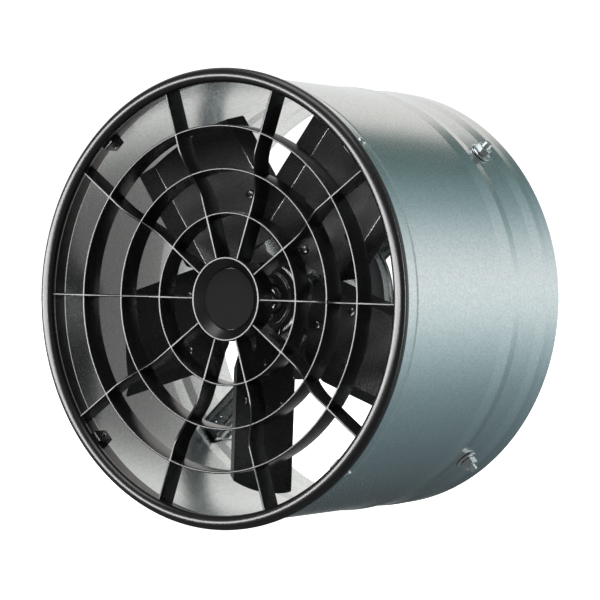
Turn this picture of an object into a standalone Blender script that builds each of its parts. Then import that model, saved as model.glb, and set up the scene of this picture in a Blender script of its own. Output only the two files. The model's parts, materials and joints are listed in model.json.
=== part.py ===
"""Axial duct fan, 400 mm: a galvanised duct casing with a moulded front guard,
a five-blade folded sheet propeller, and a motor carried on four sheet arms.

Metres. The fan axis is Y, the guard faces -Y and Z is up. The origin is on the
axis, at the middle of the bounding box. Depths are measured along +Y from the
middle plane of the guard's bezel, and turns are measured from +X towards +Z.
"""

import math

import bmesh
import bpy
from mathutils import Matrix, Vector

MM = 0.001
GAP = 0.3 * MM
SMOOTH_ANGLE = 35

# Overall size
BEZEL_RADIUS = 205 * MM
BEZEL_TUBE = 6.5 * MM
CASING_REAR = 260 * MM
BEZEL_Y = -(CASING_REAR - BEZEL_TUBE) / 2

# Casing
CASING_RADIUS = 200 * MM
CASING_FRONT = 7 * MM
SHEET = 1 * MM
SHEET_LIFT = 0.6 * MM
SCREW_HOLE = 2.2 * MM

# Sides of round pieces
CASING_SIDES = 48
RING_SIDES = 40
MOTOR_SIDES = 24
HUB_SIDES = 24
BEARING_SIDES = 16
PIN_SIDES = 12

# Guard
SKIRT_DEPTH = 20.8 * MM
SKIRT_RADIUS = 199 * MM
SKIRT_WALL = 2.6 * MM
RIB_WIDTH = 2.2 * MM
RIB_DEPTH = 20.5 * MM
RING_RADII = (77 * MM, 116 * MM, 154 * MM)
DISH_DEPTH = 15.7 * MM
DISH_RIM = -1 * MM
DISH_START = 92 * MM
DISH_END = 141 * MM
SPOKES = 10
SPOKE_TURN = -1.3
GUARD_HUB_RADIUS = 38 * MM
BADGE_RADIUS = 26.8 * MM
BOSS_WIDTH = 12 * MM
BOSS_RADIUS = 189 * MM
GUARD_SCREW_DEPTH = 12 * MM

# Quarter positions of the guard screws, the motor arms and the frame bolts
QUARTERS = (42, 132, 222, 312)

# Propeller
BLADES = 5
BLADE_TURN = 51.6
BLADE_DEPTH = 81.4 * MM
BLADE_SHIFT = 3.5 * MM
BLADE_FACET = 83.4 * MM
BLADE_PITCH = 17
FRONT_FLANGE = 17.4 * MM
FRONT_FLANGE_PITCH = 45
REAR_FLANGE = 16.8 * MM
REAR_FLANGE_PITCH = 38
BLADE_SHEET = 1.4 * MM
BLADE_ROOT = 49 * MM
BLADE_ROOT_WIDTH = 70 * MM
BLADE_SHOULDER = 67 * MM
TIP_RADIUS = 177.7 * MM
SPIDER_SHEET = 2.6 * MM
SPIDER_END = 107 * MM
SPIDER_NECK = 30 * MM
SPIDER_FLARE = 70 * MM
RIVETS = ((59 * MM, 0), (96 * MM, 28 * MM), (96 * MM, -28 * MM))
RIVET_RADIUS = 2.4 * MM
RIVET_HEAD = 4.4 * MM
RIVET_SIDES = 6
RIVET_PHASE = 30
PROPELLER_NUT = 17 * MM
HUB_RADIUS = 35 * MM

# Motor
SHAFT_RADIUS = 6 * MM
SHAFT_FRONT = 79 * MM
SHAFT_REAR = 183 * MM
MOTOR_RADIUS = 73.5 * MM
MOTOR_LIP = 2 * MM
BELL_FRONT = 123.5 * MM
CORE_FRONT = 138 * MM
CORE_REAR = 160 * MM
BELL_REAR = 174 * MM
ROTOR_RADIUS = 40 * MM
STATOR_BORE = 40.6 * MM
COIL_INNER = 43 * MM
COIL_OUTER = 57 * MM
COIL_REACH = 7.5 * MM
SLOTS = 8
BEARING_OUTER = 16 * MM
BEARING_WIDTH = 10 * MM
FRONT_BEARING = 109 * MM
REAR_BEARING = 171 * MM
BALLS = 7
BALL_RADIUS = 2 * MM
BEARING_RACE = 2.6 * MM
BEARING_STOP = 1.8 * MM
BELL_WALL = 2.2 * MM
TIE_RADIUS = 65 * MM
TIE_HOLE = 2.6 * MM

# Motor arms and frame bolts
ARM_WIDTH = 26 * MM
ARM_SHEET = 1.5 * MM
ARM_FLANGE = 9 * MM
ARM_INNER = 36 * MM
ARM_OUTER = 191 * MM
ARM_DEPTH = BELL_REAR + GAP
BRACKET_WIDTH = 21 * MM
BRACKET_INNER = 160 * MM
BRACKET_WALL = 198.2 * MM
BRACKET_REAR = 226 * MM
ARM_RIVETS = (174 * MM, 182 * MM)
FRAME_BOLT_DEPTH = 205.7 * MM
FRAME_BOLT_TIP = 213.5 * MM
FRAME_BOLT_RADIUS = 4 * MM
FRAME_BOLT_HOLE = 4.5 * MM
FRAME_NUT = 13 * MM
FRAME_NUT_HEIGHT = 6.5 * MM
FRAME_HEAD_HEIGHT = 5.3 * MM
FRAME_WASHER = (10.4 * MM, 1.6 * MM)
NUT_TURNS = (12, 40, 5, 24)

# Terminal box
BOX_FRONT = 187.5 * MM
BOX_DEPTH = 24 * MM
BOX_SIZE = (58 * MM, 40 * MM)
BOX_WALL = 2 * MM
LID = 3 * MM
LID_SCREW_X = 22 * MM


def clear_scene():
    for obj in list(bpy.data.objects):
        bpy.data.objects.remove(obj, do_unlink=True)


def new_collection(name):
    collection = bpy.data.collections.new(name)
    bpy.context.scene.collection.children.link(collection)
    return collection


clear_scene()
FAN = new_collection("duct_fan")
CUTTERS = new_collection("cutters")


def material(name, colour, roughness, metallic=0.0):
    made = bpy.data.materials.new(name)
    made.use_nodes = True
    shader = made.node_tree.nodes["Principled BSDF"]
    shader.inputs["Base Color"].default_value = (*colour, 1)
    shader.inputs["Roughness"].default_value = roughness
    shader.inputs["Metallic"].default_value = metallic
    return made


GALVANISED = ((0.42, 0.48, 0.49), 0.42, 1.0)
BLACK_PLASTIC = ((0.014, 0.014, 0.015), 0.38)
BLACK_PAINT = ((0.012, 0.012, 0.013), 0.3)
ZINC = ((0.62, 0.66, 0.70), 0.24, 1.0)
STEEL = ((0.50, 0.50, 0.49), 0.30, 1.0)
LAMINATION = ((0.20, 0.20, 0.21), 0.5, 1.0)
COPPER = ((0.62, 0.27, 0.11), 0.35, 1.0)
ALUMINIUM = ((0.60, 0.60, 0.61), 0.45, 1.0)
BOX_PLASTIC = ((0.02, 0.02, 0.021), 0.5)
CAPACITOR_CASE = ((0.55, 0.55, 0.53), 0.45)


def place(obj, location=(0, 0, 0), rotation=(0, 0, 0)):
    obj.location = location
    obj.rotation_euler = rotation
    return obj


def add(name, mesh, finish):
    """A part in the fan's collection, or a hidden cutter when it has no finish."""
    obj = bpy.data.objects.new(name, mesh)
    if finish is None:
        CUTTERS.objects.link(obj)
        obj.hide_render = True
        obj.display_type = "WIRE"
        return obj
    FAN.objects.link(obj)
    mesh.materials.append(material(name, *finish))
    return obj


def axial(obj):
    """Stand a piece made along its local Z on the fan axis, rear side up."""
    return place(obj, (0, BEZEL_Y, 0), (math.radians(-90), 0, 0))


def radial(obj, turn):
    """Local Z points out along the turn, local Y runs to the rear, local X runs clockwise."""
    return place(obj, (0, BEZEL_Y, 0), (0, math.radians(90 - turn), 0))


def spin(name, profile, sides, finish, closed=False):
    """Turn a profile of (radius, height) round local Z, from its top down its outer side."""
    points = [(radius, 0, height) for radius, height in profile]
    edges = [(i, i + 1) for i in range(len(points) - 1)]
    if closed:
        edges.append((len(points) - 1, 0))
    mesh = bpy.data.meshes.new(name)
    mesh.from_pydata(points, edges, [])
    obj = add(name, mesh, finish)
    turn = obj.modifiers.new("turn", "SCREW")
    turn.axis = "Z"
    turn.steps = sides
    turn.render_steps = sides
    turn.use_merge_vertices = True
    turn.merge_threshold = 0.00001
    turn.use_smooth_shade = True
    return obj


def to_mesh(name, shape):
    """A mesh of a finished bmesh, smooth over its shallow edges."""
    mesh = bpy.data.meshes.new(name)
    shape.to_mesh(mesh)
    shape.free()
    mesh.shade_smooth()
    mesh.set_sharp_from_angle(angle=math.radians(SMOOTH_ANGLE))
    return mesh


def cylinder(name, radius, low, high, sides, finish, centre=(0, 0)):
    """A round bar along local Z, between two heights."""
    shape = bmesh.new()
    height = high - low
    bmesh.ops.create_cone(
        shape, cap_ends=True, segments=sides, radius1=radius, radius2=radius, depth=height
    )
    bmesh.ops.translate(shape, verts=shape.verts, vec=(*centre, low + height / 2))
    return add(name, to_mesh(name, shape), finish)


def flat_curve(name, outline, thickness):
    """A filled 2D curve with straight sides, thickened evenly about its plane."""
    curve = bpy.data.curves.new(name, "CURVE")
    curve.dimensions = "2D"
    curve.fill_mode = "BOTH"
    curve.extrude = thickness / 2
    line = curve.splines.new("POLY")
    line.points.add(len(outline) - 1)
    for point, (x, y) in zip(line.points, outline):
        point.co = (x, y, 0, 1)
    line.use_cyclic_u = True
    return bpy.data.objects.new(name, curve)


def prism(name, outline, low, high, finish):
    """A flat outline in local XY, thickened between two heights along local Z."""
    flat = flat_curve(name, outline, high - low)
    filled = bpy.data.meshes.new_from_object(flat)
    shape = bmesh.new()
    shape.from_mesh(filled)
    bmesh.ops.remove_doubles(shape, verts=shape.verts, dist=0.00001)
    bmesh.ops.recalc_face_normals(shape, faces=shape.faces)
    bmesh.ops.translate(shape, verts=shape.verts, vec=(0, 0, (low + high) / 2))
    bpy.data.objects.remove(flat)
    bpy.data.meshes.remove(filled)
    return add(name, to_mesh(name, shape), finish)


def block(name, low, high, finish):
    """A box between two corners."""
    low, high = Vector(low), Vector(high)
    shape = bmesh.new()
    bmesh.ops.create_cube(shape, size=1)
    bmesh.ops.scale(shape, verts=shape.verts, vec=high - low)
    bmesh.ops.translate(shape, verts=shape.verts, vec=(low + high) / 2)
    return add(name, to_mesh(name, shape), finish)


def combine(target, tool, operation):
    step = target.modifiers.new(tool.name, "BOOLEAN")
    step.operation = operation
    step.solver = "EXACT"
    step.object = tool
    return target


def cut(target, tool):
    return combine(target, tool, "DIFFERENCE")


def join(target, tool):
    return combine(target, tool, "UNION")


def polygon(x, y, reach, sides, turn=0.0):
    """Corners of a regular polygon, the first one at an angle in degrees."""
    angles = [math.radians(turn + 360 * i / sides) for i in range(sides)]
    return [(x + reach * math.cos(a), y + reach * math.sin(a)) for a in angles]


def hexagon(across_flats, turn=0.0):
    return polygon(0, 0, across_flats / math.sqrt(3), 6, turn)


# Casing


def casing_outline():
    """Outer line of the rolled sheet, front to rear, as (depth, radius)."""
    return (
        (CASING_FRONT, CASING_RADIUS + SHEET_LIFT),
        (20.6 * MM, CASING_RADIUS + SHEET_LIFT),
        (22.6 * MM, CASING_RADIUS - 0.5 * MM),
        (24.6 * MM, CASING_RADIUS),
        (168 * MM, CASING_RADIUS),
        (181 * MM, CASING_RADIUS + 2.4 * MM),
        (187.5 * MM, CASING_RADIUS),
        (225 * MM, CASING_RADIUS),
        (237 * MM, CASING_RADIUS + 2.4 * MM),
        (246 * MM, CASING_RADIUS + 1 * MM),
        (CASING_REAR, CASING_RADIUS + 1 * MM),
    )


def make_casing():
    line = casing_outline()
    outer = [(radius, depth) for depth, radius in reversed(line)]
    inner = [(radius - SHEET, depth) for depth, radius in line]
    casing = axial(spin("duct_casing", outer + inner, CASING_SIDES, GALVANISED, closed=True))
    reach = (190 * MM, 210 * MM)
    for number, turn in enumerate(QUARTERS, 1):
        cut(casing, radial_pin(f"casing_bolt_hole_{number}", FRAME_BOLT_HOLE, reach, FRAME_BOLT_DEPTH, turn))
        cut(casing, radial_pin(f"casing_screw_hole_{number}", SCREW_HOLE, reach, GUARD_SCREW_DEPTH, turn))


def radial_pin(name, radius, reach, depth, turn):
    """A round cutter along a radius of the casing, centred at one depth."""
    return radial(cylinder(name, radius, *reach, PIN_SIDES, None, centre=(0, depth)), turn)


# Guard


def dish(radius):
    """Depth of the guard's front edges: a flat middle, a smooth step, and a flat rim."""
    if radius <= DISH_START:
        return DISH_DEPTH
    if radius >= DISH_END:
        return DISH_RIM
    part = (radius - DISH_START) / (DISH_END - DISH_START)
    return DISH_RIM + (DISH_DEPTH - DISH_RIM) * (1 + math.cos(math.pi * part)) / 2


def bezel_profile():
    """The round bezel with the skirt that slides into the casing, as one closed line."""
    centre = BEZEL_RADIUS - BEZEL_TUBE
    skirt_inner = SKIRT_RADIUS - SKIRT_WALL
    rear = math.sqrt(BEZEL_TUBE**2 - (SKIRT_RADIUS - centre) ** 2)
    start = math.degrees(math.atan2(rear, SKIRT_RADIUS - centre))
    inner_rear = math.sqrt(BEZEL_TUBE**2 - (skirt_inner - centre) ** 2)
    end = math.degrees(math.atan2(inner_rear, skirt_inner - centre)) - 360
    turns = [start] + [45 - 45 * i for i in range(7)] + [end]
    profile = [(skirt_inner, SKIRT_DEPTH), (SKIRT_RADIUS, SKIRT_DEPTH)]
    for turn in turns:
        angle = math.radians(turn)
        profile.append((centre + BEZEL_TUBE * math.cos(angle), BEZEL_TUBE * math.sin(angle)))
    return profile


def guard_hub_profile():
    rim = DISH_DEPTH - 1 * MM
    return (
        (0, rim + 10 * MM),
        (28 * MM, rim + 10 * MM),
        (GUARD_HUB_RADIUS - 2.4 * MM, rim + 4 * MM),
        (GUARD_HUB_RADIUS - 2.4 * MM, rim + RIB_DEPTH),
        (GUARD_HUB_RADIUS, rim + RIB_DEPTH),
        (GUARD_HUB_RADIUS, rim + 0.8 * MM),
        (GUARD_HUB_RADIUS - 0.7 * MM, rim),
        (GUARD_HUB_RADIUS - 1.7 * MM, rim),
        (27.6 * MM, rim + 7.8 * MM),
        (0, rim + 7.8 * MM),
    )


def make_spoke(number, turn):
    """One spoke: a thin rib whose front and rear edges both follow the dish."""
    low = GUARD_HUB_RADIUS - 1.2 * MM
    high = SKIRT_RADIUS - SKIRT_WALL + 1 * MM
    steps = 4
    stations = [low] + [DISH_START + (DISH_END - DISH_START) * i / steps for i in range(steps + 1)] + [high]
    front = [(dish(radius), radius) for radius in stations]
    rear = [(depth + RIB_DEPTH, radius) for depth, radius in reversed(front)]
    outline = [(depth, radius) for depth, radius in rear + front]
    spoke = prism(f"spoke_{number}", outline, -RIB_WIDTH / 2, RIB_WIDTH / 2, None)
    angle = math.radians(turn)
    out = Vector((math.cos(angle), 0, math.sin(angle)))
    back = Vector((0, 1, 0))
    frame = Matrix((back, out, back.cross(out))).transposed().to_4x4()
    spoke.matrix_world = Matrix.Translation((0, BEZEL_Y, 0)) @ frame
    return spoke


def make_guard():
    guard = axial(spin("front_guard", bezel_profile(), CASING_SIDES, BLACK_PLASTIC, closed=True))
    for number in range(SPOKES):
        join(guard, make_spoke(number, SPOKE_TURN + 360 * number / SPOKES))
    for number, radius in enumerate(RING_RADII, 1):
        front = dish(radius)
        inner = radius - RIB_WIDTH / 2
        outer = radius + RIB_WIDTH / 2
        rear = front + RIB_DEPTH + 0.7 * MM
        profile = ((inner, rear), (outer, rear), (outer, front), (inner, front))
        join(guard, axial(spin(f"guard_ring_{number}", profile, RING_SIDES, None, closed=True)))
    join(guard, axial(spin("guard_hub", guard_hub_profile(), HUB_SIDES, None)))
    half = BOSS_WIDTH / 2
    for number, turn in enumerate(QUARTERS, 1):
        low = (-half, 3 * MM, BOSS_RADIUS)
        high = (half, SKIRT_DEPTH - 0.8 * MM, SKIRT_RADIUS - 1 * MM)
        join(guard, radial(block(f"boss_{number}", low, high, None), turn))
        reach = (185 * MM, 202 * MM)
        cut(guard, radial_pin(f"guard_screw_hole_{number}", SCREW_HOLE, reach, GUARD_SCREW_DEPTH, turn))


def make_badge():
    floor = DISH_DEPTH - 1 * MM + 7.8 * MM
    profile = (
        (0, floor - GAP),
        (BADGE_RADIUS, floor - GAP),
        (BADGE_RADIUS, floor - 0.8 * MM),
        (BADGE_RADIUS - 0.5 * MM, floor - 1.3 * MM),
        (0, floor - 1.3 * MM),
    )
    axial(spin("guard_badge", profile, MOTOR_SIDES, BLACK_PLASTIC))


def make_guard_screws():
    seat = CASING_RADIUS + SHEET_LIFT + GAP
    for number, turn in enumerate(QUARTERS, 1):
        profile = (
            (0, seat + 2.4 * MM),
            (2.4 * MM, seat + 2 * MM),
            (3.9 * MM, seat + 0.8 * MM),
            (3.9 * MM, seat),
            (1.7 * MM, seat),
            (1.7 * MM, 188.5 * MM),
            (0, 186.5 * MM),
        )
        screw = radial(spin(f"guard_screw_{number}", profile, PIN_SIDES, ZINC), turn)
        screw.location = (0, BEZEL_Y + GUARD_SCREW_DEPTH, 0)


# Propeller


def blade_section():
    """Middle line across a blade in local XY, from its forward edge to its rear edge."""

    def along(pitch, length):
        return Vector((length * math.cos(math.radians(pitch)), length * math.sin(math.radians(pitch))))

    middle = Vector((BLADE_SHIFT, BLADE_DEPTH))
    front_fold = middle - along(BLADE_PITCH, BLADE_FACET / 2)
    rear_fold = middle + along(BLADE_PITCH, BLADE_FACET / 2)
    front_edge = front_fold - along(FRONT_FLANGE_PITCH, FRONT_FLANGE)
    rear_edge = rear_fold + along(REAR_FLANGE_PITCH, REAR_FLANGE)
    return front_edge, front_fold, rear_fold, rear_edge


def offset_line(points, distance):
    """A polyline moved sideways, with mitred corners."""
    directions = [(b - a).normalized() for a, b in zip(points, points[1:])]
    normals = [Vector((-d.y, d.x)) for d in directions]
    moved = [points[0] + normals[0] * distance]
    for i in range(1, len(points) - 1):
        mitre = (normals[i - 1] + normals[i]).normalized()
        moved.append(points[i] + mitre * distance / mitre.dot(normals[i]))
    moved.append(points[-1] + normals[-1] * distance)
    return moved


def facet_prism(name, outline, front, rear, turn, finish):
    """A plate lying on a blade's middle facet: its outline is (across, radius)."""
    pitch = math.radians(BLADE_PITCH)
    across = Vector((math.cos(pitch), math.sin(pitch), 0))
    outward = Vector((0, 0, 1))
    frame = Matrix((across, outward, across.cross(outward))).transposed().to_4x4()
    plate = prism(name, outline, -rear, -front, finish)
    base = Matrix.Translation((BLADE_SHIFT, BLADE_DEPTH, 0)) @ frame
    spin_turn = Matrix.Rotation(math.radians(90 - turn), 4, "Y")
    plate.matrix_world = Matrix.Translation((0, BEZEL_Y, 0)) @ spin_turn @ base
    return plate


def make_blade(number, turn):
    middle = blade_section()
    outline = offset_line(middle, -BLADE_SHEET / 2)
    outline += reversed(offset_line(middle, BLADE_SHEET / 2))
    blade = radial(prism(f"blade_{number}", outline, BLADE_ROOT, TIP_RADIUS + 10 * MM, BLACK_PAINT), turn)
    tip = axial(cylinder(f"blade_tip_{number}", TIP_RADIUS, 30 * MM, 130 * MM, 72, None))
    combine(blade, tip, "INTERSECT")
    half = BLADE_ROOT_WIDTH / 2
    wide = BLADE_FACET
    rise = (BLADE_SHOULDER - BLADE_ROOT) * (wide - half) / (BLADE_FACET / 2 + 14 * MM - half)
    for side in (-1, 1):
        corner = [(side * half, BLADE_ROOT - 1 * MM), (side * wide, BLADE_ROOT - 1 * MM)]
        corner.append((side * wide, BLADE_ROOT + rise))
        if side < 0:
            corner.reverse()
        cut(blade, facet_prism(f"blade_corner_{number}_{side + 1}", corner, -40 * MM, 40 * MM, turn, None))
    for index, (radius, across) in enumerate(RIVETS):
        hole = polygon(across, radius, RIVET_RADIUS + GAP, RIVET_SIDES, RIVET_PHASE)
        cut(blade, facet_prism(f"rivet_hole_{number}_{index}", hole, -5 * MM, 5 * MM, turn, None))


def spider_arm_outline():
    neck = SPIDER_NECK / 2
    flare = SPIDER_FLARE / 2
    return (
        (-neck - 6 * MM, HUB_RADIUS - 8 * MM),
        (neck + 6 * MM, HUB_RADIUS - 8 * MM),
        (neck, HUB_RADIUS + 6 * MM),
        (neck + 2 * MM, BLADE_ROOT),
        (flare, SPIDER_END - 12 * MM),
        (flare, SPIDER_END),
        (-flare, SPIDER_END),
        (-flare, SPIDER_END - 12 * MM),
        (-neck - 2 * MM, BLADE_ROOT),
        (-neck, HUB_RADIUS + 6 * MM),
    )


def hub_profile():
    """The pressed hub with its boss, as (radius, depth) from the rear."""
    bore = SHAFT_RADIUS + GAP
    return (
        (bore, 103 * MM),
        (13 * MM, 103 * MM),
        (13 * MM, 91 * MM),
        (HUB_RADIUS - 3 * MM, 89 * MM),
        (HUB_RADIUS, 86 * MM),
        (HUB_RADIUS, 80.5 * MM),
        (HUB_RADIUS - 2 * MM, 79 * MM),
        (25 * MM, 78.4 * MM),
        (24 * MM, 76.4 * MM),
        (20 * MM, 76 * MM),
        (17 * MM, 79 * MM),
        (11.5 * MM, 86.5 * MM),
        (bore, 86.5 * MM),
    )


def make_propeller_hub():
    hub = axial(spin("propeller_hub", hub_profile(), HUB_SIDES, BLACK_PAINT, closed=True))
    front = BLADE_SHEET / 2 + GAP
    rear = front + SPIDER_SHEET
    head = -BLADE_SHEET / 2 - GAP
    for number in range(BLADES):
        turn = BLADE_TURN + 360 * number / BLADES
        join(hub, facet_prism(f"spider_arm_{number}", spider_arm_outline(), front, rear, turn, None))
        for index, (radius, across) in enumerate(RIVETS):
            tag = f"{number}_{index}"
            stem = polygon(across, radius, RIVET_RADIUS, RIVET_SIDES, RIVET_PHASE)
            join(hub, facet_prism(f"rivet_stem_{tag}", stem, head - 0.5 * MM, rear - 1 * MM, turn, None))
            cap = polygon(across, radius, RIVET_HEAD, RIVET_SIDES, RIVET_PHASE)
            join(hub, facet_prism(f"rivet_cap_{tag}", cap, head - 1.6 * MM, head, turn, None))


def make_propeller_nut():
    bore = SHAFT_RADIUS + GAP
    floor = 86.5 * MM - GAP
    front = floor - 1.2 * MM
    washer = ring(bore, 10.5 * MM, front, floor)
    axial(spin("propeller_washer", washer, BEARING_SIDES, BLACK_PAINT, closed=True))
    rear = front - GAP
    nut = axial(prism("propeller_nut", hexagon(PROPELLER_NUT), rear - 5 * MM, rear, BLACK_PAINT))
    cut(nut, axial(cylinder("propeller_nut_bore", bore, 60 * MM, 95 * MM, MOTOR_SIDES, None)))


# Motor


def make_shaft():
    profile = (
        (0, SHAFT_REAR),
        (SHAFT_RADIUS - 0.8 * MM, SHAFT_REAR),
        (SHAFT_RADIUS, SHAFT_REAR - 0.8 * MM),
        (SHAFT_RADIUS, SHAFT_FRONT + 0.8 * MM),
        (SHAFT_RADIUS - 0.8 * MM, SHAFT_FRONT),
        (0, SHAFT_FRONT),
    )
    axial(spin("motor_shaft", profile, MOTOR_SIDES, STEEL))


def make_rotor():
    """Laminated core with a cast end ring on each side."""
    bore = SHAFT_RADIUS + GAP
    end = ROTOR_RADIUS - 5 * MM
    profile = (
        (bore, CORE_REAR + 5 * MM),
        (end, CORE_REAR + 5 * MM),
        (end, CORE_REAR),
        (ROTOR_RADIUS, CORE_REAR),
        (ROTOR_RADIUS, CORE_FRONT),
        (end, CORE_FRONT),
        (end, CORE_FRONT - 5 * MM),
        (bore, CORE_FRONT - 5 * MM),
    )
    axial(spin("rotor_core", profile, MOTOR_SIDES, ALUMINIUM, closed=True))


def make_stator():
    core_ring = ring(STATOR_BORE, MOTOR_RADIUS, CORE_FRONT, CORE_REAR)
    core = axial(spin("stator_core", core_ring, MOTOR_SIDES, LAMINATION, closed=True))
    rear_ring = ring(COIL_INNER, COIL_OUTER, CORE_REAR + GAP, CORE_REAR + COIL_REACH)
    coil = axial(spin("stator_winding", rear_ring, MOTOR_SIDES, COPPER, closed=True))
    front_ring = ring(COIL_INNER, COIL_OUTER, CORE_FRONT - COIL_REACH, CORE_FRONT - GAP)
    join(coil, axial(spin("winding_front", front_ring, MOTOR_SIDES, None, closed=True)))
    for index in range(SLOTS):
        turn = 360 * index / SLOTS
        low = (-5 * MM, CORE_FRONT - 5 * MM, COIL_INNER - 4 * MM)
        high = (5 * MM, CORE_REAR + 5 * MM, COIL_OUTER - 2 * MM)
        cut(core, radial(block(f"slot_{index}", low, high, None), turn))
        low = (-4.6 * MM, CORE_FRONT - 4 * MM, COIL_INNER + 1 * MM)
        high = (4.6 * MM, CORE_REAR + 4 * MM, COIL_OUTER - 2.4 * MM)
        join(coil, radial(block(f"coil_{index}", low, high, None), turn))
    for number, turn in enumerate(QUARTERS, 1):
        cut(core, tie_hole(f"core_tie_hole_{number}", turn))


def ring(inner, outer, front, rear):
    """Closed profile of a plain ring."""
    return ((inner, rear), (outer, rear), (outer, front), (inner, front))


def tie_hole(name, turn):
    angle = math.radians(turn)
    centre = (TIE_RADIUS * math.cos(angle), -TIE_RADIUS * math.sin(angle))
    return axial(cylinder(name, TIE_HOLE, 90 * MM, 200 * MM, 8, None, centre=centre))


def bell_profile(end, housing_end):
    """One end bell from its open side: wall, plate, bearing housing, as (radius, distance)."""
    seat = BEARING_OUTER + GAP
    floor = end - BELL_WALL
    return (
        (MOTOR_RADIUS - BELL_WALL, 0),
        (MOTOR_RADIUS, 0),
        (MOTOR_RADIUS, end - 5 * MM),
        (MOTOR_RADIUS + MOTOR_LIP, end - 4.6 * MM),
        (MOTOR_RADIUS + MOTOR_LIP, end - 1.4 * MM),
        (MOTOR_RADIUS + MOTOR_LIP - 1.4 * MM, end),
        (20 * MM, end),
        (19 * MM, housing_end),
        (SHAFT_RADIUS + 2 * MM, housing_end),
        (SHAFT_RADIUS + 2 * MM, housing_end - BEARING_STOP),
        (seat, housing_end - BEARING_STOP),
        (seat, floor - 1.2 * MM),
        (18.5 * MM, floor),
        (MOTOR_RADIUS - BELL_WALL - 2 * MM, floor),
        (MOTOR_RADIUS - BELL_WALL, floor - 2 * MM),
    )


def make_bells():
    """The front bell opens to the rear and the rear bell opens to the front."""
    open_side = CORE_REAR + GAP
    housing = REAR_BEARING + BEARING_WIDTH + GAP + BEARING_STOP - open_side
    line = bell_profile(BELL_REAR - open_side, housing)
    profile = [(radius, open_side + distance) for radius, distance in reversed(line)]
    rear_bell = axial(spin("motor_rear_bell", profile, MOTOR_SIDES, GALVANISED, closed=True))
    open_side = CORE_FRONT - GAP
    housing = open_side - FRONT_BEARING + GAP + BEARING_STOP
    line = bell_profile(open_side - BELL_FRONT, housing)
    profile = [(radius, open_side - distance) for radius, distance in line]
    front_bell = axial(spin("motor_front_bell", profile, MOTOR_SIDES, GALVANISED, closed=True))
    for number, turn in enumerate(QUARTERS, 1):
        cut(rear_bell, tie_hole(f"rear_tie_hole_{number}", turn))
        cut(front_bell, tie_hole(f"front_tie_hole_{number}", turn))


def make_bearing(end, front):
    rear = front + BEARING_WIDTH
    outer = ring(BEARING_OUTER - BEARING_RACE, BEARING_OUTER, front, rear)
    inner = ring(SHAFT_RADIUS + GAP, SHAFT_RADIUS + BEARING_RACE, front, rear)
    axial(spin(f"{end}_bearing_outer", outer, BEARING_SIDES, STEEL, closed=True))
    axial(spin(f"{end}_bearing_inner", inner, BEARING_SIDES, STEEL, closed=True))
    middle = (front + rear) / 2
    path = (SHAFT_RADIUS + BEARING_OUTER) / 2
    cage_ring = ring(path - 0.6 * MM, path + 0.6 * MM, middle - 2.6 * MM, middle + 2.6 * MM)
    cage = axial(spin(f"{end}_bearing_balls", cage_ring, 14, STEEL, closed=True))
    for index in range(BALLS):
        angle = 2 * math.pi * (index + 0.5) / BALLS
        place_at = (path * math.cos(angle), BEZEL_Y + middle, path * math.sin(angle))
        join(cage, place(ball(f"{end}_ball_{index}"), place_at))


def ball(name):
    shape = bmesh.new()
    bmesh.ops.create_uvsphere(shape, u_segments=6, v_segments=4, radius=BALL_RADIUS)
    return add(name, to_mesh(name, shape), None)


def make_tie_bolts():
    """Four long bolts clamp both bells, the core and the arms."""
    head = ARM_DEPTH + ARM_SHEET + GAP
    tip = BELL_FRONT - 2 * MM
    profile = (
        (0, head + 3 * MM),
        (2.6 * MM, head + 2.6 * MM),
        (4.2 * MM, head + 0.9 * MM),
        (4.2 * MM, head),
        (2 * MM, head),
        (2 * MM, tip + 0.5 * MM),
        (1.5 * MM, tip),
        (0, tip),
    )
    for number, turn in enumerate(QUARTERS, 1):
        bolt = axial(spin(f"motor_bolt_{number}", profile, PIN_SIDES, ZINC))
        angle = math.radians(turn)
        bolt.location = (TIE_RADIUS * math.cos(angle), BEZEL_Y, TIE_RADIUS * math.sin(angle))


# Arms, wall brackets and frame bolts


def make_arm(number, turn):
    """A channel strip: flat web facing forward, with a flange folded back on each side."""
    half = ARM_WIDTH / 2
    wall = ARM_SHEET
    front = ARM_DEPTH
    outline = [
        (-half, front + ARM_FLANGE),
        (-half, front),
        (half, front),
        (half, front + ARM_FLANGE),
        (half - wall, front + ARM_FLANGE),
        (half - wall, front + wall),
        (wall - half, front + wall),
        (wall - half, front + ARM_FLANGE),
    ]
    arm = radial(prism(f"motor_arm_{number}", outline, ARM_INNER, ARM_OUTER, GALVANISED), turn)
    cut(arm, tie_hole(f"arm_tie_hole_{number}", turn))
    for index, radius in enumerate(ARM_RIVETS):
        name = f"arm_rivet_hole_{number}_{index}"
        cut(arm, arm_pin(name, 1.9 * MM, radius, front - 2 * MM, front + 4 * MM, turn))


def arm_pin(name, size, radius, front, rear, turn):
    """A short pin along the depth, on the middle line of an arm."""
    angle = math.radians(turn)
    centre = (radius * math.cos(angle), -radius * math.sin(angle))
    return axial(cylinder(name, size, front, rear, 6, None, centre=centre))


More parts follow.
